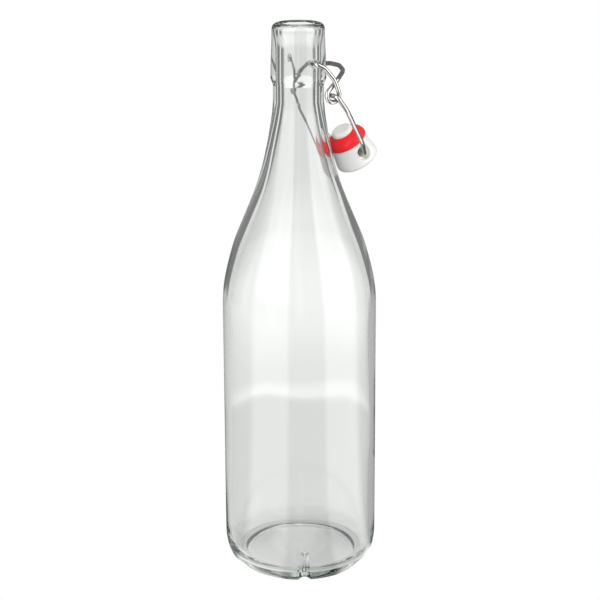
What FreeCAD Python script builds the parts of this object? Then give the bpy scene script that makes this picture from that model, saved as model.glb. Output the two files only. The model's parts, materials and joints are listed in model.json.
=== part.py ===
import FreeCAD
import Part
import math
import os
import Sketcher

# A one litre glass bottle with a hinged wire closure.
# Frame: origin on the bottle's axis at the foot, +Z up, Y along the closure's pivot,
# +X towards the side where the open stopper hangs. Lengths in mm, angles in degrees.

SIZES = {
    "foot_inner": 34.3,        # flat bearing ring
    "foot_outer": 36.1,
    "push_up": 5.1,            # hollow under the middle of the base
    "heel_radius": 44.37,
    "heel_height": 17.85,
    "body_radius": 43.81,
    "body_top": 155.04,
    "neck_radius": 14.03,
    "neck_foot": 274.38,
    "collar_foot": 282.54,
    "collar_edge": 286.01,
    "collar_radius": 15.3,
    "collar_step": 292.0,
    "collar_shoulder": 308.0,
    "rim_radius": 14.5,
    "rim_side": 313.34,
    "lip_outer": 11.93,
    "lip_inner": 11.02,
    "lip_height": 316.3,
    "mouth_radius": 9.49,
    "mouth_height": 314.67,
    "seat_radius": 9.03,
    "seat_height": 309.06,
    "bore_radius": 8.15,
    "bore_top": 306.41,
    "bore_foot": 272.34,
    "inside_radius": 40.29,
    "inside_heel_radius": 40.7,
    "inside_heel_height": 15.81,
    "floor_radius": 30.6,
    "floor_edge": 5.41,
    "floor_middle": 9.79,
    "pivot_height": 295.5,
    "dimple_radius": 1.94,
    "dimple_mouth": 2.55,
    "dimple_floor": 11.93,     # distance of the dimple's bottom from the axis
    "notch_radius": 3.67,
    "notch_drop": 0.82,
    "notch_inner": 24.48,
    "notch_bearing": 239.6,    # direction of the drain notch, from +X towards +Y
    "wire_radius": 1.25,
    "lean": 33.0,              # the hanging stopper's axis, from the vertical
    "tip_flat": 4.7,           # plug: slightly domed end with a rounded edge
    "tip_dome": 0.12,
    "tip_round": 1.5,
    "stem_tip": 6.2,
    "tip_thick": 2.35,
    "stem_waist": 5.1,
    "gasket_inner": 5.15,
    "gasket_front": 6.6,
    "gasket_back": 11.35,
    "gasket_band": 11.6,
    "gasket_band_foot": 6.3,
    "gasket_band_mid": 6.5,
    "gasket_end": 8.3,
    "head_foot": 10.5,
    "head_radius": 12.5,
    "head_round": 20.65,
    "head_crown": 11.0,
    "head_shoulder": 22.4,
    "head_length": 23.35,
    "cross_bore": 2.4,
    "cross_height": 15.48,     # the wire's place along the stopper's axis
    "cross_aside": 0.42,       # play of the wire in the cross bore, square to the axis
    "cross_shift": -0.23,      # and along it
    "recess_radius": 4.1,
    "recess_floor": 9.0,       # distance of the recess floor from the stopper's axis
    "recess_cut": 5.0,         # depth of its cutter, past the head's side
}

# Outer shoulder and neck root, radius and height, from the body up to the neck.
SHOULDER = [(43.61, 163.2), (42.84, 170.14), (41.62, 176.46), (40.19, 182.38), (38.66, 187.99),
            (36.92, 193.7), (34.78, 199.31), (32.38, 205.02), (29.84, 211.04), (27.39, 216.95),
            (25.09, 222.77), (23.0, 228.58), (21.22, 234.4), (19.69, 240.11), (18.41, 245.82),
            (17.24, 251.43), (16.22, 257.04), (15.3, 262.65), (14.59, 267.75)]

# Centre lines of one side of each wire: corner and bend radius. The lever's points are
# measured from the middle of the pivot, the bail's along its own plane from the eyes.
LEVER = [((0.0, -13.16, 0.0), 0), ((0.0, -17.75, 0.0), 1.94), ((4.08, -19.58, -2.1), 4.08),
         ((9.1, -21.9, -8.8), 14.0), ((11.1, -23.15, -15.9), 3.06), ((11.1, -22.34, -20.5), 3.06),
         ((4.75, -21.52, -20.5), 3.06), ((4.75, -20.4, -15.66), 3.06), ((12.7, -18.77, -9.6), 8.16),
         ((20.7, -13.6, -5.4), 9.0), ((23.9, -4.59, -3.9), 8.16)]
BAIL = [((0.0, -17.95), 0), ((0.0, -26.21), 2.24), ((10.2, -26.5), 14.28), ((36.72, -18.3), 15.3),
        ((46.9, -12.3), 3.06)]
EYE = (7.8, -17.1)            # eyes of the lever from the pivot, x and z
BAIL_REACH = 46.9             # from the eyes to the stopper's cross bore
BAIL_DROP = 52.2              # slope of the hanging bail below the horizontal
CUT_OVER = 20.0               # half length of the cross bore's cutter, well past the head


def make_sheet(doc):
    sheet = doc.addObject("Spreadsheet::Sheet", "sizes")
    for row, (name, value) in enumerate(SIZES.items(), 1):
        sheet.set(f"A{row}", name)
        sheet.set(f"B{row}", str(value))
        sheet.setAlias(f"B{row}", name)
    doc.recompute()


def corner(radius_name, height_name):
    return (SIZES.get(radius_name, 0.0), SIZES.get(height_name, 0.0)), (radius_name, height_name)


def revolved(doc, label, spans):
    """Body turned about its Z axis. Each span is (start corner, points passed on the way)."""
    body = doc.addObject("PartDesign::Body", label)
    body.Label = label
    sketch = body.newObject("Sketcher::SketchObject", label + "_profile")
    plane = next(f for f in body.Origin.OriginFeatures if f.Role == "XZ_Plane")
    sketch.AttachmentSupport = [(plane, "")]
    sketch.MapMode = "FlatFace"
    count = len(spans)
    for index, ((start, _), passed) in enumerate(spans):
        end = spans[(index + 1) % count][0][0]
        points = [FreeCAD.Vector(r, z, 0) for r, z in [start, *passed, end]]
        if passed:
            curve = Part.BSplineCurve()
            curve.interpolate(points)
        else:
            curve = Part.LineSegment(points[0], points[1])
        sketch.addGeometry(curve, False)
    for index, ((start, names), _) in enumerate(spans):
        sketch.addConstraint(Sketcher.Constraint("Coincident", (index - 1) % count, 2, index, 1))
        axes = zip(("DistanceX", "DistanceY"), start, names, (-2, -1))
        for kind, value, name, axis in axes:
            if name == "zero":
                sketch.addConstraint(Sketcher.Constraint("PointOnObject", index, 1, axis))
                continue
            made = sketch.addConstraint(Sketcher.Constraint(kind, -1, 1, index, 1, value))
            sketch.setExpression(f"Constraints[{made}]", f"sizes.{name}")
    turned = body.newObject("PartDesign::Revolution", label + "_turned")
    turned.Profile = sketch
    turned.ReferenceAxis = (sketch, ["V_Axis"])
    turned.Angle = 360
    body.Tip = turned
    return body


def inside_of(points, start_wall, end_wall):
    """Points moved in, square to the line they follow, by an evenly changing wall."""
    moved = []
    for index in range(1, len(points) - 1):
        (r0, z0), (r1, z1) = points[index - 1], points[index + 1]
        length = math.hypot(r1 - r0, z1 - z0)
        wall = start_wall + (end_wall - start_wall) * index / (len(points) - 1)
        moved.append((points[index][0] - wall * (z1 - z0) / length,
                      points[index][1] + wall * (r1 - r0) / length))
    return moved


def heel_points(inner, outer, height, steps):
    """Quarter ellipse from a foot of radius inner up to a side of radius outer."""
    turns = [math.pi / 2 * step / steps for step in range(1, steps)]
    return [(inner + (outer - inner) * math.sin(a), height * (1 - math.cos(a))) for a in turns]


def make_glass(doc):
    size = SIZES
    outer_heel = heel_points(size["foot_outer"], size["heel_radius"], size["heel_height"], 6)
    rim = [(13.85, 315.3), (12.9, 316.08)]
    lip = [(10.15, 315.94), (9.64, 315.38)]
    inner = inside_of([(size["body_radius"], size["body_top"]), *SHOULDER,
                       (size["neck_radius"], size["neck_foot"])], 3.52, 5.87)
    inner_shoulder = [point for point in reversed(inner) if point[1] < 267.24]
    inner_heel = [(40.14, 12.65), (38.66, 9.18), (35.7, 6.53)]
    spans = [
        (corner("zero", "push_up"), [(10.2, 4.82), (20.4, 3.64), (28.05, 1.95), (32.0, 0.78)]),
        (corner("foot_inner", "zero"), []),
        (corner("foot_outer", "zero"), outer_heel),
        (corner("heel_radius", "heel_height"), []),
        (corner("body_radius", "body_top"), SHOULDER),
        (corner("neck_radius", "neck_foot"), []),
        (corner("neck_radius", "collar_foot"), []),
        (corner("collar_radius", "collar_edge"), []),
        (corner("collar_radius", "collar_step"), []),
        (corner("rim_radius", "collar_shoulder"), []),
        (corner("rim_radius", "rim_side"), rim),
        (corner("lip_outer", "lip_height"), []),
        (corner("lip_inner", "lip_height"), lip),
        (corner("mouth_radius", "mouth_height"), []),
        (corner("seat_radius", "seat_height"), []),
        (corner("bore_radius", "bore_top"), []),
        (corner("bore_radius", "bore_foot"), inner_shoulder),
        (corner("inside_radius", "body_top"), []),
        (corner("inside_heel_radius", "inside_heel_height"), inner_heel),
        (corner("floor_radius", "floor_edge"), [(20.4, 7.75), (10.2, 9.33)]),
        (corner("zero", "floor_middle"), []),
    ]
    blank = revolved(doc, "glass_blank", spans)

    tools = []
    for side, turn in (("near", 90), ("far", -90)):
        dimple = doc.addObject("Part::Cone", f"dimple_{side}")
        dimple.setExpression("Radius1", "sizes.dimple_radius")
        dimple.setExpression("Radius2", "sizes.dimple_mouth")
        dimple.Height = 5.0
        reach = SIZES["dimple_floor"] * (-1 if side == "near" else 1)
        dimple.Placement = FreeCAD.Placement(FreeCAD.Vector(0, reach, SIZES["pivot_height"]),
                                             FreeCAD.Rotation(FreeCAD.Vector(1, 0, 0), turn))
        tools.append(dimple)
    notch = doc.addObject("Part::Cylinder", "drain_notch")
    notch.setExpression("Radius", "sizes.notch_radius")
    notch.Height = 24.0
    bearing = math.radians(SIZES["notch_bearing"])
    outward = FreeCAD.Vector(math.cos(bearing), math.sin(bearing), 0)
    notch.Placement = FreeCAD.Placement(
        outward * SIZES["notch_inner"] - FreeCAD.Vector(0, 0, SIZES["notch_drop"]),
        FreeCAD.Rotation(FreeCAD.Vector(0, 0, 1), outward))
    end = doc.addObject("Part::Sphere", "notch_end")
    end.setExpression("Radius", "sizes.notch_radius")
    end.Placement = FreeCAD.Placement(notch.Placement.Base, FreeCAD.Rotation())
    cutter = doc.addObject("Part::MultiFuse", "glass_cutter")
    cutter.Shapes = [*tools, notch, end]
    glass = doc.addObject("Part::Cut", "bottle_glass")
    glass.Label = "bottle_glass"
    glass.Base = blank
    glass.Tool = cutter
    return glass


def rounded_path(corners):
    """Wire of straight lines, joined at each corner by an arc of the stated radius."""
    points = [FreeCAD.Vector(*place) for place, _ in corners]
    edges, last = [], points[0]
    for index in range(1, len(points) - 1):
        here, radius = points[index], corners[index][1]
        back = (points[index - 1] - here).normalize()
        ahead = (points[index + 1] - here).normalize()
        half = back.getAngle(ahead) / 2
        reach = radius / math.tan(half)
        start, stop = here + back * reach, here + ahead * reach
        middle = (back + ahead).normalize()
        centre = here + middle * (radius / math.sin(half))
        edges.append(Part.makeLine(last, start))
        edges.append(Part.Arc(start, centre - middle * radius, stop).toShape())
        last = stop
    edges.append(Part.makeLine(last, points[-1]))
    return Part.Wire(edges)


def mirrored(corners):
    other = [((x, -y, z), radius) for (x, y, z), radius in reversed(corners)]
    return [*corners, *other]


def make_wire(doc, label, corners, start_down):
    path = doc.addObject("Part::Feature", label + "_path")
    path.Shape = rounded_path(corners)
    ring = doc.addObject("Part::Circle", label + "_section")
    ring.setExpression("Radius", "sizes.wire_radius")
    ring.Placement = FreeCAD.Placement(FreeCAD.Vector(*corners[0][0]),
                                       FreeCAD.Rotation(FreeCAD.Vector(0, 0, 1), start_down))
    wire = doc.addObject("Part::Sweep", label)
    wire.Label = label
    wire.Sections = [ring]
    wire.Spine = (path, [f"Edge{n + 1}" for n in range(len(path.Shape.Edges))])
    wire.Solid = True
    wire.Frenet = False
    return wire


def eye_place():
    return FreeCAD.Vector(EYE[0], 0, SIZES["pivot_height"] + EYE[1])


def bail_slope():
    drop = math.radians(BAIL_DROP)
    return FreeCAD.Vector(math.cos(drop), 0, -math.sin(drop))


def make_wires(doc):
    pivot = FreeCAD.Vector(0, 0, SIZES["pivot_height"])
    outward = FreeCAD.Vector(0, -1, 0)
    lever = [(tuple(FreeCAD.Vector(*place) + pivot), radius) for place, radius in LEVER]
    slope, eye = bail_slope(), eye_place()
    bail = [(tuple(eye + slope * along + FreeCAD.Vector(0, across, 0)), radius)
            for (along, across), radius in BAIL]
    return [make_wire(doc, "lever_wire", mirrored(lever), outward),
            make_wire(doc, "bail_wire", mirrored(bail), outward)]


def make_stopper(doc):
    head_blank = revolved(doc, "head_blank", [
        (corner("zero", "zero"), []),
        (corner("tip_flat", "tip_dome"), [(5.75, 0.6)]),
        (corner("stem_tip", "tip_round"), []),
        (corner("stem_tip", "tip_thick"), []),
        (corner("stem_waist", "tip_thick"), []),
        (corner("stem_waist", "gasket_end"), []),
        (corner("head_foot", "gasket_end"), []),
        (corner("head_radius", "head_round"), [(12.25, 21.7)]),
        (corner("head_crown", "head_shoulder"), [(5.6, 23.1)]),
        (corner("zero", "head_length"), []),
    ])
    gasket = revolved(doc, "sealing_gasket", [
        (corner("gasket_inner", "tip_thick"), []),
        (corner("gasket_front", "tip_thick"), [(10.1, 4.45)]),
        (corner("gasket_back", "gasket_band_foot"), []),
        (corner("gasket_band", "gasket_band_mid"), []),
        (corner("gasket_band", "gasket_end"), []),
        (corner("gasket_inner", "gasket_end"), []),
    ])
    across = FreeCAD.Rotation(FreeCAD.Vector(1, 0, 0), -90)
    height = SIZES["cross_height"] + SIZES["cross_shift"]
    bore = doc.addObject("Part::Cylinder", "cross_bore")
    bore.setExpression("Radius", "sizes.cross_bore")
    bore.Height = 2 * CUT_OVER
    bore.Placement = FreeCAD.Placement(FreeCAD.Vector(0, -CUT_OVER, height), across)
    tools = [bore]
    for side in (-1, 1):
        recess = doc.addObject("Part::Cylinder", "recess_near" if side < 0 else "recess_far")
        recess.setExpression("Radius", "sizes.recess_radius")
        recess.setExpression("Height", "sizes.recess_cut")
        turn = FreeCAD.Rotation(FreeCAD.Vector(1, 0, 0), -90 * side)
        recess.Placement = FreeCAD.Placement(
            FreeCAD.Vector(0, side * SIZES["recess_floor"], height), turn)
        tools.append(recess)
    cutter = doc.addObject("Part::MultiFuse", "head_cutter")
    cutter.Shapes = tools
    head = doc.addObject("Part::Cut", "stopper_head")
    head.Label = "stopper_head"
    head.Base = head_blank
    head.Tool = cutter

    turn = FreeCAD.Rotation(FreeCAD.Vector(0, 1, 0), 180 - SIZES["lean"])
    cross = eye_place() + bail_slope() * BAIL_REACH
    hinge = FreeCAD.Vector(SIZES["cross_aside"], 0, SIZES["cross_height"])
    place = cross - turn.multVec(hinge)
    for piece in (head, gasket):
        piece.Placement = FreeCAD.Placement(place, turn)
    return [head, gasket]


def check(doc):
    for item in doc.Objects:
        if "Invalid" in item.State or "Error" in item.State:
            raise RuntimeError(f"{item.Label} did not recompute: {item.State}")


def main():
    doc = FreeCAD.newDocument("swing_top_bottle")
    make_sheet(doc)
    pieces = [make_glass(doc), *make_wires(doc), *make_stopper(doc)]
    doc.recompute()
    check(doc)
    os.makedirs("parts", exist_ok=True)
    for piece in pieces:
        shape = piece.Shape
        if shape.isNull() or not shape.isValid() or len(shape.Solids) != 1:
            raise RuntimeError(f"{piece.Label} is not one valid solid")
        shape.exportStep(f"parts/{piece.Label}.step")
        box = shape.BoundBox
        print(piece.Label, round(shape.Volume, 1), round(box.XMin, 2), round(box.XMax, 2),
              round(box.YMin, 2), round(box.YMax, 2), round(box.ZMin, 2), round(box.ZMax, 2))


main()
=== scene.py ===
"""A clear glass bottle of about one litre with a hinged wire closure, its stopper hanging open.

Lengths are in millimetres until a surface becomes a mesh, which is in metres. Frame: origin on the
bottle's axis at the foot, +Z up, Y along the closure's pivot, +X towards the hanging stopper.
"""
import json
import math
import bmesh
import bpy
import numpy as np
from mathutils import Matrix, Vector


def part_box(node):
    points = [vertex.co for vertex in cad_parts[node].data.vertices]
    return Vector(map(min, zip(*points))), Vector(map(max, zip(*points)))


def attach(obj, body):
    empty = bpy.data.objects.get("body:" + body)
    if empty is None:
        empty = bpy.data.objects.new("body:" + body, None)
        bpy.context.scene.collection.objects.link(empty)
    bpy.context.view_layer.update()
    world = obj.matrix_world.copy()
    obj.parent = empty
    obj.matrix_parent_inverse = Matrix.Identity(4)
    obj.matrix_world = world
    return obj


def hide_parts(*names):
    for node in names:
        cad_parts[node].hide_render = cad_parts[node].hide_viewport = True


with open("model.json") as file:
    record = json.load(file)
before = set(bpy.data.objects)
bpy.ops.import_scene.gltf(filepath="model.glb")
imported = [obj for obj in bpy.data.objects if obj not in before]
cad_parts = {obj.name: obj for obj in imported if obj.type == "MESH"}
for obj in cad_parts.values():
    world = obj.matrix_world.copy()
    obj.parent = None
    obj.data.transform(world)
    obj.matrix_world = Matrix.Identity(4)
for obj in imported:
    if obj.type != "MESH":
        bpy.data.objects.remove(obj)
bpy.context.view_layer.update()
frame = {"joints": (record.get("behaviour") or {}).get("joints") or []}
scene = bpy.context.scene

MM = 0.001


def joint_place(name):
    """Where a joint's axis passes, in millimetres."""
    joint = next(j for j in frame["joints"] if j["name"] == name)
    return np.array(joint["pos_m"]) / MM


PIVOT = joint_place("lever_pivot")
EYE = joint_place("bail_pivot")
CROSS = joint_place("stopper_swing")
BOTTLE_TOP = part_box("bottle_glass")[1].z / MM
BOTTLE_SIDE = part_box("bottle_glass")[1].x / MM

# ---------------------------------------------------------------- glass
FOOT_INNER, FOOT_OUTER = 34.3, 36.1      # bearing ring
PUSH_UP = 5.1                            # hollow under the middle of the base
HEEL_HEIGHT = 17.85
BODY_RADIUS, BODY_TOP = 43.81, 155.04
NECK_RADIUS, NECK_FOOT = 14.03, 274.38
BORE_RADIUS, BORE_FOOT = 8.15, 272.34
WALL_BODY, WALL_NECK = 3.52, 5.87
SHOULDER = [(43.61, 163.2), (42.84, 170.14), (41.62, 176.46), (40.19, 182.38), (38.66, 187.99),
            (36.92, 193.7), (34.78, 199.31), (32.38, 205.02), (29.84, 211.04), (27.39, 216.95),
            (25.09, 222.77), (23.0, 228.58), (21.22, 234.4), (19.69, 240.11), (18.41, 245.82),
            (17.24, 251.43), (16.22, 257.04), (15.3, 262.65), (14.59, 267.75)]
COLLAR = [((NECK_RADIUS, NECK_FOOT), 0), ((NECK_RADIUS, 282.54), 1.6), ((15.3, 286.01), 1.1),
          ((15.25, 292.0), 30.0), ((14.55, 308.0), 30.0), ((14.45, BOTTLE_TOP), 3.4),
          ((9.75, BOTTLE_TOP), 1.1), ((9.25, 310.0), 8.0), ((BORE_RADIUS, 303.5), 12.0),
          ((BORE_RADIUS, BORE_FOOT), 0)]
INNER_BOTTOM = [(40.7, 15.81), (40.14, 12.65), (38.66, 9.18), (35.7, 6.53), (31.2, 5.55),
                (26.6, 6.35), (20.4, 7.75), (10.2, 9.33), (0.0, 9.79), (-10.2, 9.33)]
DIMPLE_RADIUS, DIMPLE_MOUTH = 1.94, 2.4  # at the bottom and where it meets the collar
DIMPLE_FLOOR = 11.93                     # distance of a dimple's bottom from the bottle's axis
COLLAR_SIDE = 15.1                       # and of the collar's face beside it
NOTCH_RADIUS, NOTCH_DROP = 3.67, 0.82
NOTCH_INNER = 24.48
NOTCH_BEARING = math.radians(239.6)
GROOVE_DEPTH, GROOVE_HALF = 1.7, 3.6     # shallow groove that runs up the heel from the notch
GROOVE_TOP = 21.0
DOTS_ROUND, DOT_PITCH = 116.0, 2.1       # stipple under the heel: dots in a ring, width of a ring

# ---------------------------------------------------------------- wires
WIRE_RADIUS = 1.25
LEVER = [((0.0, -13.16, 0.0), 0), ((0.0, -17.75, 0.0), 1.94), ((4.08, -19.58, -2.1), 4.08),
         ((9.1, -21.9, -8.8), 14.0), ((11.1, -23.15, -15.9), 3.06), ((11.1, -22.34, -20.5), 3.06),
         ((4.75, -21.52, -20.5), 3.06), ((4.75, -20.4, -15.66), 3.06), ((12.7, -18.77, -9.6), 8.16),
         ((20.7, -13.6, -5.4), 9.0), ((23.9, -4.59, -3.9), 8.16)]
BAIL = [((0.0, -17.95), 0), ((0.0, -26.21), 2.24), ((10.2, -26.5), 14.28), ((36.72, -18.3), 15.3),
        ((46.9, -12.3), 3.06)]
LEVER_SIDE = (0.0, 0.7071, 0.7071)       # never along the lever's wire

# ---------------------------------------------------------------- stopper
LEAN = math.radians(33.0)                # the hanging stopper's axis, from the vertical
WIRE_PLACE = (0.42, 0.0, 15.48)          # the bail's wire in the stopper's own frame
BORE_HEIGHT = 15.25                      # middle of the cross bore, whose wire has a little play
CROSS_BORE = 2.4
FLAT = 0.001                             # nearer the middle plane than this, a face is left out
RECESS_RADIUS, RECESS_RIM, RECESS_FLOOR = 4.1, 0.6, 9.0
HEAD = [((0.0, 0.05), 0), ((6.22, 0.1), 1.45), ((6.22, 2.52), 0.3), ((5.12, 2.52), 0.2),
        ((5.12, 8.33), 0.2), ((10.9, 8.33), 0.5), ((11.3, 13.6), 40.0), ((12.7, 21.7), 1.7),
        ((10.2, 22.95), 0)]
HEAD_CROWN = [(7.6, 23.3), (4.2, 23.5)]
HEAD_LENGTH = 23.56
GASKET = [(5.2, 5.4), (5.2, 2.56), (6.6, 2.56), (9.75, 4.3), (11.0, 5.9), (11.3, 7.15), (11.56, 7.25),
          (11.56, 8.3), (5.2, 8.3)]
GASKET_ROUNDING = [0, 0.3, 0.7, 6.0, 3.0, 0.12, 0.12, 0.3, 0.3]


# ================================================================ lines
def smooth_line(points, count):
    """Natural cubic curve through the points, by their distance along it, at count even steps."""
    points = np.array(points, float)
    gaps = np.linalg.norm(np.diff(points, axis=0), axis=1)
    along = np.concatenate([[0.0], np.cumsum(gaps)])
    size = len(points)
    inner = np.arange(1, size - 1)
    system = np.eye(size)
    system[inner, inner - 1] = gaps[:-1]
    system[inner, inner] = 2 * (gaps[:-1] + gaps[1:])
    system[inner, inner + 1] = gaps[1:]
    turning = np.zeros_like(points)
    turning[1:-1] = 6 * np.diff(np.diff(points, axis=0) / gaps[:, None], axis=0)
    bend = np.linalg.solve(system, turning)
    at = np.linspace(0, along[-1], count)
    span = np.clip(np.searchsorted(along, at, side="right") - 1, 0, size - 2)
    gap = gaps[span][:, None]
    ahead = (at - along[span])[:, None] / gap
    back = 1 - ahead
    lift = (back ** 3 - back) * bend[span] + (ahead ** 3 - ahead) * bend[span + 1]
    return back * points[span] + ahead * points[span + 1] + lift * gap ** 2 / 6


def bent_line(corners, step, turn_step):
    """Straight runs joined at each corner by an arc of the corner's radius, about step apart on a
    run and turn_step degrees apart on an arc."""
    places = [np.array(place, float) for place, _ in corners]
    pieces, last = [], places[0]
    for index in range(1, len(places)):
        here = places[index]
        radius = corners[index][1] if index < len(places) - 1 else 0
        start = stop = here
        arc = None
        if radius:
            back = places[index - 1] - here
            ahead = places[index + 1] - here
            back, ahead = back / np.linalg.norm(back), ahead / np.linalg.norm(ahead)
            half = math.acos(np.clip(back @ ahead, -1, 1)) / 2
            start, stop = here + back * radius / math.tan(half), here + ahead * radius / math.tan(half)
            middle = (back + ahead) / np.linalg.norm(back + ahead)
            centre = here + middle * radius / math.sin(half)
            sweep = math.pi - 2 * half
            share = np.linspace(0, 1, max(3, math.ceil(math.degrees(sweep) / turn_step) + 1))[:, None]
            arc = centre + (np.sin((1 - share) * sweep) * (start - centre)
                            + np.sin(share * sweep) * (stop - centre)) / math.sin(sweep)
        length = np.linalg.norm(start - last)
        if length > 1e-6:
            share = np.linspace(0, 1, max(1, math.ceil(length / step)) + 1)[:-1, None]
            pieces.append(last + share * (start - last))
        if arc is not None:
            pieces.append(arc[:-1])
        last = stop
    pieces.append(last[None, :])
    return np.vstack(pieces)


def inside_of(points, first_wall, last_wall):
    """Points moved in, square to the line they follow, by an evenly changing wall."""
    points = np.array(points, float)
    along = points[2:] - points[:-2]
    along /= np.linalg.norm(along, axis=1)[:, None]
    wall = np.linspace(first_wall, last_wall, len(points))[1:-1]
    return points[1:-1] + np.stack([-along[:, 1], along[:, 0]], axis=1) * wall[:, None]


def ring_angles(count, bearings, width, gain):
    """Angles of a full turn, gain times closer together within width of each bearing."""
    fine = np.linspace(0, 2 * math.pi, 7201)
    density = np.ones_like(fine)
    for bearing in bearings:
        away = np.abs((fine - bearing + math.pi) % (2 * math.pi) - math.pi)
        density += gain / (1 + np.exp((away - width) / math.radians(1.0)))
    total = np.concatenate([[0.0], np.cumsum((density[1:] + density[:-1]) / 2)])
    return np.interp(np.linspace(0, total[-1], count, endpoint=False), total, fine)


def turned(outline, angles):
    """Outline of radius and height turned about Z: x = r cos a, y = r sin a, z = height."""
    radius, height = outline[:, :1], outline[:, 1:]
    return np.stack([radius * np.cos(angles), radius * np.sin(angles),
                     height + 0 * angles], axis=-1)


def lesser(first, second, blend):
    """The smaller of two values, with the crease between them rounded over blend."""
    share = np.clip(0.5 + 0.5 * (second - first) / blend, 0, 1)
    return second * (1 - share) + first * share - blend * share * (1 - share)


# ================================================================ meshes
def surface(name, points, poles=None, looped=False, without=0.0):
    """Mesh over a grid of points in millimetres: points[i, j] is station i along the outline and
    place j round it. Each station is a closed ring. poles are the two points that close the ends,
    or looped joins the last station to the first. Faces that lie wholly within without of the plane
    y = 0 are left out. The UV map holds the turn and the length."""
    stations, places = points.shape[:2]
    index = np.arange(stations * places).reshape(stations, places)
    here = index if looped else index[:-1]
    there = np.roll(index, -1, axis=0) if looped else index[1:]
    quads = np.stack([here, np.roll(here, -1, 1), np.roll(there, -1, 1), there], -1).reshape(-1, 4)
    steps = np.linalg.norm(np.diff(points[:, 0], axis=0), axis=1)
    length = np.concatenate([[0.0], np.cumsum(steps)]) * MM
    ahead = np.append(length[1:], length[-1] + steps[-1] * MM)
    low, high = (length, ahead) if looped else (length[:-1], length[1:])
    turn = np.arange(places + 1) / places
    across = np.stack([turn[:-1], turn[1:], turn[1:], turn[:-1]], -1)[None].repeat(len(low), 0)
    along = np.stack([low, low, high, high], -1)[:, None].repeat(places, 1)
    uv = np.stack([across, along], -1).reshape(-1, 4, 2)
    vertices = points.reshape(-1, 3)
    kept = np.abs(vertices[quads, 1]).max(axis=1) >= without
    uv = uv[kept].reshape(-1, 2)
    faces = quads[kept].tolist()
    if poles is not None:
        first, last = len(vertices), len(vertices) + 1
        vertices = np.vstack([vertices, poles])
        near, far = index[0], index[-1]
        start_fan = np.stack([np.full(places, first), np.roll(near, -1), near], -1)
        end_fan = np.stack([far, np.roll(far, -1), np.full(places, last)], -1)
        faces += start_fan.tolist() + end_fan.tolist()
        fan = np.stack([turn[:-1], turn[1:], turn[:-1]], -1)
        fan_uv = np.stack([np.vstack([fan, fan]), np.repeat([[0.0], [length[-1]]], places, 0)
                           .repeat(3, 1)], -1)
        uv = np.vstack([uv, fan_uv.reshape(-1, 2)])
    mesh = bpy.data.meshes.new(name)
    mesh.from_pydata(vertices * MM, [], faces)
    mesh.uv_layers.new(name="UVMap").data.foreach_set("uv", uv.ravel())
    mesh.polygons.foreach_set("use_smooth", np.ones(len(faces), bool))
    mesh.update()
    piece = bpy.data.objects.new(name, mesh)
    scene.collection.objects.link(piece)
    return piece


def tube(name, path, side, radius):
    """Round wire: circles of the radius about each point of the path, square to it, turned so that
    their first axis is square to side. Each end is a flat face with a rounded edge."""
    edge = 0.35 * radius
    turn = np.linspace(0, math.pi / 2, 5)
    offset, shrink = edge * (1 - np.cos(turn)), edge * (1 - np.sin(turn))
    start, stop = path[0], path[-1]
    ahead = (path[1] - start) / np.linalg.norm(path[1] - start)
    behind = (path[-2] - stop) / np.linalg.norm(path[-2] - stop)
    path = np.vstack([start + ahead * offset[:, None], path[1:-1],
                      stop + behind * offset[::-1, None]])
    thick = np.full(len(path), radius)
    thick[:len(turn)] -= shrink
    thick[-len(turn):] -= shrink[::-1]
    along = np.gradient(path, axis=0)
    along[:len(turn)] = ahead
    along[-len(turn):] = -behind
    along /= np.linalg.norm(along, axis=1)[:, None]
    first = np.cross(along, np.broadcast_to(side, along.shape))
    first /= np.linalg.norm(first, axis=1)[:, None]
    second = np.cross(along, first)
    angles = np.linspace(0, 2 * math.pi, 28, endpoint=False)[None, :, None]
    ring = np.cos(angles) * first[:, None] + np.sin(angles) * second[:, None]
    points = path[:, None] + thick[:, None, None] * ring
    return surface(name, points, poles=[start, stop])


def weld(piece):
    """Joins vertices that share a place."""
    held = bmesh.new()
    held.from_mesh(piece.data)
    bmesh.ops.remove_doubles(held, verts=held.verts, dist=1e-7)
    held.to_mesh(piece.data)
    held.free()


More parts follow.
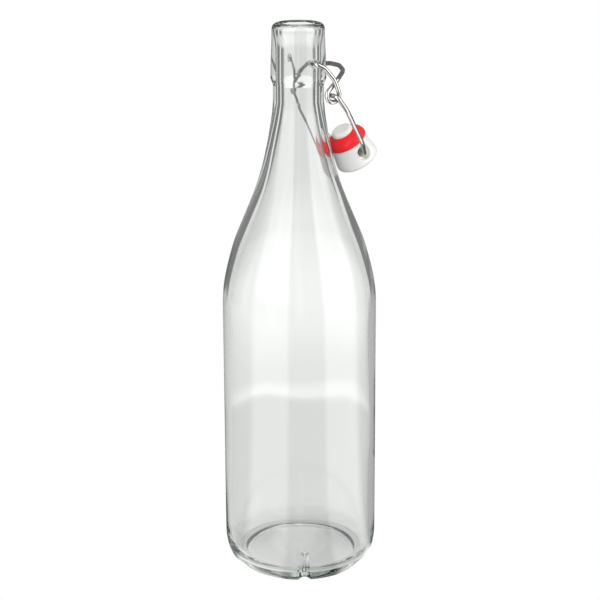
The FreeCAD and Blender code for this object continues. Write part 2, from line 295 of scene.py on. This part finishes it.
# ================================================================ materials
class Finish:
    """A material's node tree with short calls for adding and joining nodes."""

    def __init__(self, name):
        self.material = bpy.data.materials.new(name)
        self.material.use_nodes = True
        self.tree = self.material.node_tree
        self.shader = self.tree.nodes["Principled BSDF"]
        self.output = self.tree.nodes["Material Output"]

    def add(self, kind, settings=None, **inputs):
        node = self.tree.nodes.new(kind)
        for key, value in (settings or {}).items():
            setattr(node, key, value)
        for key, value in inputs.items():
            self.feed(node.inputs[key.replace("_", " ")], value)
        return node

    def feed(self, socket, value):
        if isinstance(value, bpy.types.NodeSocket):
            self.tree.links.new(value, socket)
        else:
            socket.default_value = value

    def place(self, scale=(1, 1, 1), source="Object"):
        spot = self.add("ShaderNodeTexCoord").outputs[source]
        return self.add("ShaderNodeMapping", Vector=spot, Scale=scale).outputs["Vector"]

    def noise(self, vector, scale, detail=2.0):
        node = self.add("ShaderNodeTexNoise", Vector=vector, Scale=scale, Detail=detail)
        return node.outputs["Fac"]

    def math(self, operation, first, second=0.0, third=0.0):
        node = self.add("ShaderNodeMath", {"operation": operation})
        for socket, value in zip(node.inputs, (first, second, third)):
            self.feed(socket, value)
        return node.outputs["Value"]

    def reach(self, x, y):
        return self.math("SQRT", self.math("MULTIPLY_ADD", x, x, self.math("MULTIPLY", y, y)))

    def span(self, value, low, high, to_low, to_high):
        node = self.add("ShaderNodeMapRange", {"interpolation_type": "SMOOTHSTEP"})
        for socket, number in zip(node.inputs, (value, low, high, to_low, to_high)):
            self.feed(socket, number)
        return node.outputs["Result"]

    def tint(self, value, low, high):
        node = self.add("ShaderNodeMix", {"data_type": "RGBA"})
        self.feed(node.inputs["Factor"], value)
        self.feed(node.inputs["A"], (*low, 1))
        self.feed(node.inputs["B"], (*high, 1))
        return node.outputs["Result"]

    def bump(self, height, distance, strength=1.0, normal=None):
        node = self.add("ShaderNodeBump", Height=height, Strength=strength, Distance=distance)
        if normal is not None:
            self.feed(node.inputs["Normal"], normal)
        return node.outputs["Normal"]

    def set(self, **inputs):
        for key, value in inputs.items():
            self.feed(self.shader.inputs[key.replace("_", " ")], value)


def clear_glass():
    """Blown glass: faint long waves in the surface, a stippled ring under the heel."""
    finish = Finish("clear_bottle_glass")
    spot = finish.place()
    parts = finish.add("ShaderNodeSeparateXYZ", Vector=spot)
    x, y, z = parts.outputs["X"], parts.outputs["Y"], parts.outputs["Z"]
    radius = finish.reach(x, y)
    bearing = finish.math("ARCTAN2", y, x)
    round_wave = finish.math("SINE", finish.math("MULTIPLY", bearing, DOTS_ROUND))
    ring_wave = finish.math("SINE", finish.math("MULTIPLY", radius, 2 * math.pi / (DOT_PITCH * MM)))
    dots = finish.math("POWER", finish.math("MAXIMUM", finish.math("MULTIPLY", round_wave, ring_wave),
                                            0.0), 0.8)
    low = finish.span(z, 0.0012, 0.0022, 1.0, 0.0)
    outer = finish.span(radius, 0.0345, 0.0352, 0.0, 1.0)
    stipple = finish.math("MULTIPLY", dots, finish.math("MULTIPLY", low, outer))
    waves = finish.noise(spot, 45.0, 1.0)
    swell = finish.bump(waves, 0.0003, 0.25)
    finish.set(Base_Color=finish.tint(stipple, (0.996, 0.999, 0.996), (0.45, 0.49, 0.47)),
               Roughness=0.0, IOR=1.52, Transmission_Weight=1.0,
               Normal=finish.bump(stipple, 0.0005, 0.8, swell))
    depth = finish.add("ShaderNodeVolumeAbsorption", Color=(0.53, 0.63, 0.54, 1), Density=15.0)
    finish.feed(finish.output.inputs["Volume"], depth.outputs["Volume"])
    return finish.material


def drawn_steel():
    """Bright drawn wire: fine streaks along it, a little cloudiness in the plating."""
    finish = Finish("drawn_steel_wire")
    along = finish.place((60.0, 8.0, 1.0), "UV")
    streaks = finish.noise(along, 1.0, 3.0)
    cloud = finish.noise(finish.place(), 180.0, 2.0)
    finish.set(Base_Color=finish.tint(finish.math("MULTIPLY", streaks, cloud),
                                      (0.50, 0.485, 0.47), (0.30, 0.29, 0.28)),
               Metallic=0.9, Roughness=finish.span(cloud, 0.3, 0.7, 0.10, 0.20),
               Normal=finish.bump(streaks, 0.00003, 0.35))
    return finish.material


def white_plastic():
    """Moulded white plastic: a fine satin grain and soft flow marks."""
    finish = Finish("moulded_white_plastic")
    spot = finish.place()
    grain = finish.noise(spot, 2600.0, 2.0)
    flow = finish.noise(spot, 130.0, 2.0)
    finish.set(Base_Color=finish.tint(flow, (0.86, 0.86, 0.84), (0.80, 0.80, 0.78)),
               Roughness=finish.span(flow, 0.3, 0.7, 0.32, 0.42), IOR=1.5,
               Subsurface_Weight=0.12, Subsurface_Scale=0.0015,
               Normal=finish.bump(grain, 0.00002, 0.5, finish.bump(flow, 0.00012, 0.4)))
    return finish.material


def red_rubber():
    """Soft red rubber: a matt skin with a fine grain."""
    finish = Finish("soft_red_rubber")
    spot = finish.place()
    grain = finish.noise(spot, 2200.0, 3.0)
    cloud = finish.noise(spot, 260.0, 2.0)
    finish.set(Base_Color=finish.tint(cloud, (0.86, 0.014, 0.022), (0.76, 0.010, 0.018)),
               Roughness=finish.span(cloud, 0.3, 0.7, 0.38, 0.5), IOR=1.5,
               Normal=finish.bump(grain, 0.00004, 0.5))
    return finish.material


# ================================================================ glass bottle
def bottle_outline():
    """Half section of the glass from the middle of the base, out and up to the lip, and down inside.
    Push-up: height x (1 - (r / foot) ^ 2.4). Heel: quarter ellipse. Shoulders: cubic curves."""
    radius = np.linspace(0.6, FOOT_INNER - 0.7, 30)
    push_up = np.stack([radius, PUSH_UP * (1 - (radius / FOOT_INNER) ** 2.4)], 1)
    foot = bent_line([(tuple(push_up[-1]), 0), ((FOOT_INNER, 0.0), 0.9), ((FOOT_OUTER, 0.0), 0)],
                     0.2, 4)[1:-1]
    turn = np.linspace(0, math.pi / 2, 34)
    heel = np.stack([FOOT_OUTER + (BOTTLE_SIDE - FOOT_OUTER) * np.sin(turn),
                     HEEL_HEIGHT * (1 - np.cos(turn))], 1)
    lower_side = np.linspace(heel[-1], (BOTTLE_SIDE, GROOVE_TOP + 1), 8)[1:]
    side = np.vstack([lower_side, np.linspace(lower_side[-1], (BODY_RADIUS, BODY_TOP), 16)[1:-1]])
    shoulder_points = [(BODY_RADIUS, BODY_TOP), *SHOULDER, (NECK_RADIUS, NECK_FOOT)]
    shoulder = smooth_line(shoulder_points, 78)
    collar = bent_line(COLLAR, 0.46, 10)[1:-1]
    in_bore = collar[:, 0] < BORE_RADIUS + 1.2
    collar = collar[~in_bore | (np.arange(len(collar)) % 4 == 0)]
    inner = inside_of(shoulder_points, WALL_BODY, WALL_NECK)
    inner = inner[inner[:, 1] < 267.2][::-1]
    inner_shoulder = smooth_line([(BORE_RADIUS, BORE_FOOT), *inner,
                                  (BODY_RADIUS - WALL_BODY, BODY_TOP)], 70)
    inner_side = np.linspace(inner_shoulder[-1], INNER_BOTTOM[0], 20)[1:-1]
    bottom = smooth_line(INNER_BOTTOM, 62)
    bottom = bottom[bottom[:, 0] > 0.5]
    return np.vstack([push_up, foot, heel, side, shoulder, collar, inner_shoulder, inner_side, bottom])


def sink_dimples(points):
    """Two blind tapered holes: the outer face is drawn in along Y to a cone round the pivot. The grid
    beside the mouth is first moved on to the mouth's circle, so that its edge is clean."""
    x, y, z = points[..., 0], points[..., 1], points[..., 2]
    radius = np.hypot(x, y)
    reach = np.hypot(x, z - PIVOT[2])
    outside = radius > DIMPLE_FLOOR + 1
    onto = outside & (np.abs(reach - DIMPLE_MOUTH) < 0.2)
    factor = np.where(onto, DIMPLE_MOUTH / np.maximum(reach, 0.1), 1.0)
    x, z = x * factor, PIVOT[2] + (z - PIVOT[2]) * factor
    y = np.where(onto, np.sign(y) * np.sqrt(np.maximum(radius ** 2 - x ** 2, 0)), y)
    reach = np.hypot(x, z - PIVOT[2])
    wall = (COLLAR_SIDE - DIMPLE_FLOOR) / (DIMPLE_MOUTH - DIMPLE_RADIUS)
    cone = DIMPLE_FLOOR + 0.35 + np.maximum(reach - DIMPLE_RADIUS, 0) * wall
    cone -= 0.35 * np.sqrt(np.maximum(1 - (reach / DIMPLE_RADIUS) ** 4, 0))
    inside = outside & (reach < DIMPLE_MOUTH + 0.6)
    y = np.where(inside, np.sign(y) * lesser(np.abs(y), cone, 0.25), y)
    return np.stack([x, y, z], -1)


def cut_notch(points):
    """Drain notch: the foot is raised to a level cylinder along the notch's bearing, which ends
    inside in a ball of the same radius."""
    x, y, z = points[..., 0], points[..., 1], points[..., 2]
    out = x * math.cos(NOTCH_BEARING) + y * math.sin(NOTCH_BEARING)
    across = y * math.cos(NOTCH_BEARING) - x * math.sin(NOTCH_BEARING)
    off = np.hypot(np.minimum(out - NOTCH_INNER, 0), across)
    arch = np.sqrt(np.maximum(NOTCH_RADIUS ** 2 - off ** 2, 0)) - NOTCH_DROP
    raised = -lesser(-z, -arch, 0.3)
    below = (z < NOTCH_RADIUS) & (off < NOTCH_RADIUS) & (out > 0)
    return np.stack([x, y, np.where(below, np.maximum(raised, z), z)], -1)


def press_groove(points, heel_rows):
    """Shallow groove up the heel over the notch: depth x (1 - (across / half) ^ 2), narrowing and
    fading out towards its rounded top."""
    x, y, z = points[..., 0], points[..., 1], points[..., 2]
    out = x * math.cos(NOTCH_BEARING) + y * math.sin(NOTCH_BEARING)
    across = y * math.cos(NOTCH_BEARING) - x * math.sin(NOTCH_BEARING)
    rise = np.clip(z / GROOVE_TOP, 0, 1)
    half = GROOVE_HALF * (1 - 0.35 * rise)
    depth = GROOVE_DEPTH * np.clip(1 - (across / half) ** 2, 0, 1) * np.clip(6 * (1 - rise), 0, 1) ** 0.5
    depth = np.where(out > 0, depth, 0)
    depth[heel_rows:] = 0
    scale = 1 - depth / np.maximum(np.hypot(x, y), 1)
    return np.stack([x * scale, y * scale, z], -1)


def ripple_inside(points, first_inner):
    """Uneven wall of blown glass: the inner face moves in and out by a sum of slow waves."""
    x, y, z = points[..., 0], points[..., 1], points[..., 2]
    bearing = np.arctan2(y, x)
    wave = (0.14 * np.sin(2 * bearing + z / 31 + 0.4) + 0.10 * np.sin(3 * bearing - z / 19 + 2.0)
            + 0.07 * np.sin(5 * bearing + z / 12 + 4.1) + 0.06 * np.sin(z / 8.5 + 2 * np.sin(bearing)))
    fade = np.clip((z - 12) / 25, 0, 1) * np.clip((262 - z) / 40, 0, 1)
    fade[:first_inner] = 0
    radius = np.hypot(x, y)
    scale = 1 + wave * fade / np.maximum(radius, 1)
    return np.stack([x * scale, y * scale, z], -1)


def glass_bottle():
    outline = bottle_outline()
    angles = ring_angles(212, [math.pi / 2, 3 * math.pi / 2, NOTCH_BEARING], math.radians(11), 4.5)
    points = turned(outline, angles)
    first_inner = int(np.argmax(outline[:, 1])) + 12
    heel_rows = int(np.argmax(outline[:, 1] > GROOVE_TOP))
    points = cut_notch(press_groove(sink_dimples(points), heel_rows))
    points = ripple_inside(points, first_inner)
    poles = [(0, 0, PUSH_UP), (0, 0, INNER_BOTTOM[-2][1])]
    return surface("glass_bottle", points, poles=poles)


# ================================================================ closure
def mirrored(corners):
    """The corners and then their mirror images across the plane y = 0, in reverse."""
    other = [((x, -y, z), radius) for (x, y, z), radius in reversed(corners)]
    return [*corners, *other]


def lever_wire():
    corners = [(tuple(np.array(place) + PIVOT), radius) for place, radius in LEVER]
    return tube("lever_bent_wire", bent_line(mirrored(corners), 1.2, 7), LEVER_SIDE, WIRE_RADIUS)


def bail_wire():
    slope = (CROSS - EYE) / np.linalg.norm(CROSS - EYE)
    corners = [(tuple(EYE + slope * along + np.array([0, across, 0])), radius)
               for (along, across), radius in BAIL]
    square = np.cross(slope, (0, 1, 0))
    return tube("bail_bent_wire", bent_line(mirrored(corners), 1.2, 7), square, WIRE_RADIUS)


def hang(points):
    """From the stopper's own frame, whose Z runs from the plug to the head, to where it hangs."""
    turn = math.pi - LEAN
    spin = np.array([[math.cos(turn), 0, math.sin(turn)], [0, 1, 0], [-math.sin(turn), 0, math.cos(turn)]])
    return CROSS + (points - WIRE_PLACE) @ spin.T


def bore_head(points):
    """Cross bore and a round recess on each side: near the bore's line the side face is drawn in
    along Y to the recess floor, and inside the bore to y = 0, where both sides meet. The recess has
    an upright wall and a quarter-round rim."""
    x, y, z = points[..., 0], points[..., 1], points[..., 2]
    radius = np.hypot(x, y)
    side = radius > 8
    for edge in (CROSS_BORE, RECESS_RADIUS):
        reach = np.hypot(x, z - BORE_HEIGHT)
        onto = side & (np.abs(reach - edge) < 0.15)
        factor = np.where(onto, edge / np.maximum(reach, 0.1), 1.0)
        x, z = x * factor, BORE_HEIGHT + (z - BORE_HEIGHT) * factor
    y = np.sign(y) * np.sqrt(np.maximum(radius ** 2 - x ** 2, 0))
    reach = np.hypot(x, z - BORE_HEIGHT)
    into = np.clip((RECESS_RADIUS + RECESS_RIM - reach) / RECESS_RIM, 0, 1)
    rim = np.abs(y) - RECESS_RIM * (1 - np.sqrt(1 - into ** 2))
    floor = RECESS_FLOOR + 0.2 * (reach / RECESS_RADIUS) ** 8
    sunk = np.where(reach > RECESS_RADIUS, rim, floor)
    sunk = np.where(reach < CROSS_BORE + 0.01, 0.0, sunk)
    near = side & (into > 0)
    return np.stack([x, np.where(near, np.sign(y) * np.minimum(sunk, np.abs(y)), y), z], -1)


def stopper_cap():
    """Turned outline: plug, stem, flared side and a shallow dome, with the cross bore cut in."""
    lower = bent_line(HEAD, 0.24, 9)[2:]
    crown = smooth_line([lower[-1], *HEAD_CROWN, (0.0, HEAD_LENGTH), (-4.2, 23.5)], 44)
    crown = crown[crown[:, 0] > 0.4][1:]
    angles = ring_angles(216, [math.pi / 2, 3 * math.pi / 2], math.radians(26), 3.5)
    points = bore_head(turned(np.vstack([lower, crown]), angles))
    ends = hang(np.array([(0, 0, HEAD[0][0][1]), (0, 0, HEAD_LENGTH)]))
    piece = surface("stopper_cap", hang(points), poles=ends, without=FLAT)
    weld(piece)
    return piece


def gasket_ring():
    """Turned closed outline: a cone with a rounded front edge and a thin band behind."""
    corners = [*zip(GASKET, GASKET_ROUNDING), (GASKET[0], 0)]
    outline = bent_line(corners, 0.3, 12)[:-1]
    angles = np.linspace(0, 2 * math.pi, 144, endpoint=False)
    return surface("gasket_ring", hang(turned(outline, angles)), looped=True)


PIECES = [
    (glass_bottle, clear_glass, "bottle", "bottle_glass", "clear_glass"),
    (lever_wire, drawn_steel, "lever", "lever_wire", "wire_steel"),
    (bail_wire, drawn_steel, "bail", "bail_wire", "wire_steel"),
    (stopper_cap, white_plastic, "stopper", "stopper_head", "white_plastic"),
    (gasket_ring, red_rubber, "stopper", "sealing_gasket", "red_rubber"),
]
finishes = {}
for build, finish, body, node, slot in PIECES:
    piece = build()
    if slot not in finishes:
        finishes[slot] = finish()
    piece.data.materials.append(finishes[slot])
    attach(piece, body)
    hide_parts(node)


# ================================================================ studio
VIEW_BEARING = 56.4                      # the way the camera looks, from +X towards +Y
CAMERA_PLACE = (-0.4629, -0.6967, 0.4178)
HEADING, LOOK_DOWN, ROLL = -33.626, 17.22, -0.24
LENS = 91.69
GAP_BEARING = -113.6                     # middle of the gap between two soft boxes
BOX_LIGHT, GAP_LIGHT = 3.4, 0.22
FLOOR = -0.0003                          # a hair below the foot, so that the two faces part


class Studio(Finish):
    """The same short calls on the world's node tree."""

    def __init__(self, world):
        world.use_nodes = True
        self.tree = world.node_tree
        self.shader = self.tree.nodes["Background"]


def by_ray(finish, camera, through, inner, outer, soft):
    """One brightness for each way a ray arrives: seen directly, through glass, after a reflection
    inside the glass, after a reflection off an outer face, or from a matt surface."""
    path = finish.add("ShaderNodeLightPath").outputs

    def choose(test, yes, no):
        return finish.math("MULTIPLY_ADD", finish.math("SUBTRACT", yes, no), test, no)

    entered = finish.math("GREATER_THAN", path["Transmission Depth"], 0.5)
    reflected = finish.math("GREATER_THAN", path["Glossy Depth"], 0.5)
    value = choose(reflected, choose(entered, inner, outer), through)
    value = choose(path["Is Diffuse Ray"], soft, value)
    return choose(path["Is Camera Ray"], camera, value)


def bearing_wave(finish, x, y, count, start):
    """Cosine of count turns of the bearing of (x, y), with a crest at start degrees."""
    bearing = finish.math("ARCTAN2", y, x)
    return finish.math("COSINE", finish.math("MULTIPLY_ADD", bearing, count,
                                             -count * math.radians(start)))


def soft_boxes(finish, x, y):
    """Two wide soft boxes beside the camera, with a grey gap between them and a dim room behind."""
    toward = bearing_wave(finish, x, y, 1.0, GAP_BEARING)
    past_gap = finish.span(toward, 0.86, 0.93, 1.0, 0.0)
    in_front = finish.span(toward, 0.0, 0.3, 0.0, 1.0)
    lit = finish.math("MULTIPLY", past_gap, in_front)
    return finish.math("MULTIPLY_ADD", lit, BOX_LIGHT - GAP_LIGHT, GAP_LIGHT)


def narrow_strips(finish, x, y):
    """Eight narrow lit strips round a dim room, which rays that were turned inside the glass see."""
    return finish.span(bearing_wave(finish, x, y, 8.0, VIEW_BEARING), 0.35, 0.9, 0.22, 0.9)


def surroundings():
    """White backdrop. Outer faces mirror two wide soft boxes with a grey gap between them."""
    world = bpy.data.worlds.new("studio")
    scene.world = world
    finish = Studio(world)
    way = finish.add("ShaderNodeTexCoord").outputs["Generated"]
    parts = finish.add("ShaderNodeSeparateXYZ", Vector=way)
    x, y, z = parts.outputs
    outer = finish.math("MULTIPLY", soft_boxes(finish, x, y), finish.span(z, 0.75, 0.95, 1.0, 0.4))
    inner = finish.math("ADD", narrow_strips(finish, x, y), finish.span(z, 0.3, 0.8, 0.0, 0.5))
    soft = finish.span(z, -0.2, 0.9, 0.45, 0.9)
    finish.set(Color=(1, 1, 1, 1), Strength=by_ray(finish, 1.0, 1.08, inner, outer, soft))
    world.cycles.sampling_method = "NONE"


def studio_floor():
    """White floor that glows rather than being lit. Through the glass it carries painted shade, like the
    shade round a bottle on a lit table: darker towards the bottle, with painted light and shade in rings
    further out. In reflections it shows painted strips and painted soft boxes.
    """
    half = 14.0
    mesh = bpy.data.meshes.new("studio_floor")
    corners = [(-half, -half, FLOOR), (half, -half, FLOOR), (half, half, FLOOR), (-half, half, FLOOR)]
    mesh.from_pydata(corners, [], [(0, 1, 2, 3)])
    floor = bpy.data.objects.new("studio_floor", mesh)
    scene.collection.objects.link(floor)
    finish = Finish("pale_floor_painted_shade")
    parts = finish.add("ShaderNodeSeparateXYZ", Vector=finish.place())
    x, y = parts.outputs["X"], parts.outputs["Y"]
    reach = finish.reach(x, y)
    # Painted light and shade through the glass: darker within about a quarter metre of the bottle, lighter
    # further out.
    through = finish.math("ADD", finish.span(reach, 0.246, 0.262, 0.78, 0.88),
                          finish.span(reach, 0.30, 0.52, 0.0, 0.17))
    # Painted light: a bright ring just outside the darker zone.
    crest = finish.math("MULTIPLY", finish.span(reach, 0.256, 0.266, 0.0, 0.13),
                        finish.span(reach, 0.27, 0.30, 1.0, 0.0))
    through = finish.math("ADD", through, crest)
    # Painted shade: dimmer far from the bottle.
    through = finish.math("MULTIPLY", through, finish.span(reach, 0.62, 1.25, 1.0, 0.78))
    # Painted shadow: darker close round the bottle's foot.
    through = finish.math("MULTIPLY", through, finish.span(reach, 0.034, 0.075, 0.76, 1.0))
    # Painted reflection for rays turned inside the glass: lit strips far out, and near the bottle one side
    # painted lighter than the other.
    strips = narrow_strips(finish, x, y)
    near = finish.span(reach, 0.50, 0.95, 1.0, 0.0)
    side = finish.math("MULTIPLY_ADD", bearing_wave(finish, x, y, 1.0, VIEW_BEARING + 90), 0.17, 0.68)
    inner = finish.math("MULTIPLY_ADD", finish.math("SUBTRACT", side, strips), near, strips)
    # Painted reflection of the soft boxes, dimmer, for rays off outer faces.
    outer = finish.math("MULTIPLY", soft_boxes(finish, x, y), 0.7)
    # The floor is no lamp but glows: its brightness for each kind of ray is painted.
    painted_floor_glow = finish.add("ShaderNodeEmission", Strength=by_ray(finish, 1.0, through, inner, outer, 0.78))
    finish.feed(finish.output.inputs["Surface"], painted_floor_glow.outputs["Emission"])
    finish.material.cycles.emission_sampling = "NONE"
    mesh.materials.append(finish.material)


def soft_light(name, place, size, power):
    """Square soft box that faces the middle of the bottle and stays out of the picture."""
    lamp = bpy.data.lights.new(name, "AREA")
    lamp.size = size
    lamp.energy = power
    holder = bpy.data.objects.new(name, lamp)
    scene.collection.objects.link(holder)
    aim = Vector((0, 0, 0.2)) - Vector(place)
    holder.matrix_world = Matrix.Translation(place) @ aim.to_track_quat("-Z", "Y").to_matrix().to_4x4()
    holder.visible_camera = False
    holder.visible_transmission = False
    holder.visible_glossy = False


def camera():
    """Looks down on the bottle from the side of the near dimple, a little to its left."""
    lens = bpy.data.cameras.new("camera")
    lens.lens = LENS
    lens.sensor_width = 36.0
    lens.clip_end = 100.0
    holder = bpy.data.objects.new("camera", lens)
    scene.collection.objects.link(holder)
    heading = Matrix.Rotation(math.radians(HEADING), 4, "Z")
    tilt = Matrix.Rotation(math.radians(90 - LOOK_DOWN), 4, "X")
    roll = Matrix.Rotation(math.radians(ROLL), 4, "Z")
    holder.matrix_world = Matrix.Translation(CAMERA_PLACE) @ heading @ tilt @ roll
    scene.camera = holder


surroundings()
studio_floor()
soft_light("key_light", (-0.9, -0.9, 1.1), 0.5, 11.5)
soft_light("fill_light", (0.9, -0.7, 0.8), 0.6, 4.0)
camera()
scene.view_settings.view_transform = "Standard"
# Light crosses and turns inside the thick foot many times before it leaves.
scene.cycles.max_bounces = 32
scene.cycles.glossy_bounces = 24
scene.cycles.transmission_bounces = 32

bpy.context.view_layer.update()
